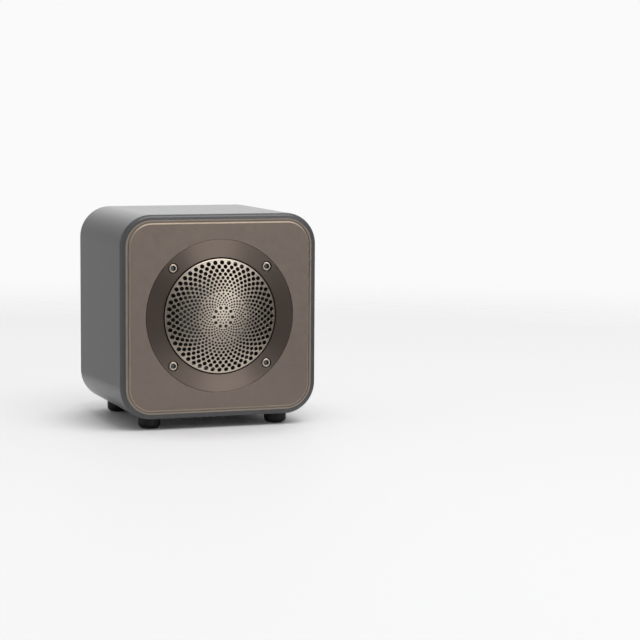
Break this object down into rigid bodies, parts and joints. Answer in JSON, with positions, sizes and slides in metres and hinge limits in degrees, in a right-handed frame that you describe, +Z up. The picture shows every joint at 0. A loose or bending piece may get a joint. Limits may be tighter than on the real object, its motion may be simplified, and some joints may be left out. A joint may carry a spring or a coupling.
{
  "type": "portable wireless speaker",
  "caption": "Cube-shaped portable speaker with a domed perforated grille, a turned trim ring and a bronze front in a grey metal cabinet on rubber feet.",
  "frame": {"origin": "on the floor below the middle of the object's box", "axes": "+Z up, +Y towards the rear panel, +X to the right seen from the front; the grille faces -Y"},
  "size_m": [0.09, 0.0804, 0.095],
  "materials": {
    "shell_grey": "matte coated",
    "panel_bronze": "satin",
    "ring_bronze": "turned",
    "grille_steel": "satin",
    "screw_steel": "satin",
    "foot_rubber": "matte",
    "black_plastic": "matte",
    "button_plastic": "satin",
    "clear_plastic": "clear",
    "gasket_foam": "matte",
    "surround_rubber": "matte",
    "cone_metal": "satin",
    "spider_cloth": "matte",
    "coil_former": "satin",
    "copper": "satin",
    "plated_steel": "satin",
    "ferrite": "matte",
    "board_green": "satin",
    "chip_black": "matte",
    "white_plastic": "matte",
    "cell_wrap": "satin",
    "tape_foam": "matte",
    "lead_red": "satin"
  },
  "bodies": {
    "cabinet": {"enclosure_shell": "shell_grey", "front_panel": "panel_bronze", "trim_ring": "ring_bronze", "grille": "grille_steel", "ring_screws": "screw_steel", "ring_nuts": "plated_steel", "front_baffle": "black_plastic", "baffle_screws": "plated_steel", "driver_gasket": "gasket_foam", "driver_basket": "plated_steel", "driver_surround": "surround_rubber", "driver_spider": "spider_cloth", "top_plate": "plated_steel", "magnet": "ferrite", "pole_yoke": "plated_steel", "driver_terminal": "coil_former", "terminal_tags": "copper", "rear_panel": "black_plastic", "rear_gasket": "gasket_foam", "rear_screws": "screw_steel", "button_switches": "chip_black", "charging_socket": "plated_steel", "socket_tongue": "chip_black", "status_light": "white_plastic", "light_pipe": "clear_plastic", "main_board": "board_green", "board_screws": "plated_steel", "radio_module": "board_green", "radio_shield": "plated_steel", "filter_inductors": "chip_black", "capacitors": "chip_black", "board_chips": "chip_black", "connectors": "white_plastic", "speaker_leads": "lead_red", "battery_cell": "cell_wrap", "battery_guard": "board_green", "battery_cradle": "black_plastic", "cradle_tape": "tape_foam", "battery_lead": "lead_red", "foot_front_left": "foot_rubber", "foot_front_right": "foot_rubber", "foot_rear_left": "foot_rubber", "foot_rear_right": "foot_rubber"},
    "cone_assembly": {"driver_cone": "cone_metal", "dust_cap": "cone_metal", "voice_coil_former": "coil_former", "voice_coil": "copper"},
    "power": {"power_button": "button_plastic", "power_plunger": "white_plastic"},
    "volume_up": {"volume_up_button": "button_plastic", "volume_up_plunger": "white_plastic"},
    "volume_down": {"volume_down_button": "button_plastic", "volume_down_plunger": "white_plastic"}
  },
  "joints": [
    {"name": "cone_stroke", "type": "slide", "parent": "cabinet", "child": "cone_assembly", "axis": [0, -1, 0], "range_m": [-0.0015, 0.0015], "stiffness_N_per_m": 1300, "deforming": ["driver_surround", "driver_spider"]},
    {"name": "power_press", "type": "slide", "parent": "cabinet", "child": "power", "axis": [0, -1, 0], "range_m": [0, 0.0004], "stiffness_N_per_m": 4000},
    {"name": "volume_up_press", "type": "slide", "parent": "cabinet", "child": "volume_up", "axis": [0, -1, 0], "range_m": [0, 0.0004], "stiffness_N_per_m": 4000},
    {"name": "volume_down_press", "type": "slide", "parent": "cabinet", "child": "volume_down", "axis": [0, -1, 0], "range_m": [0, 0.0004], "stiffness_N_per_m": 4000}
  ]
}
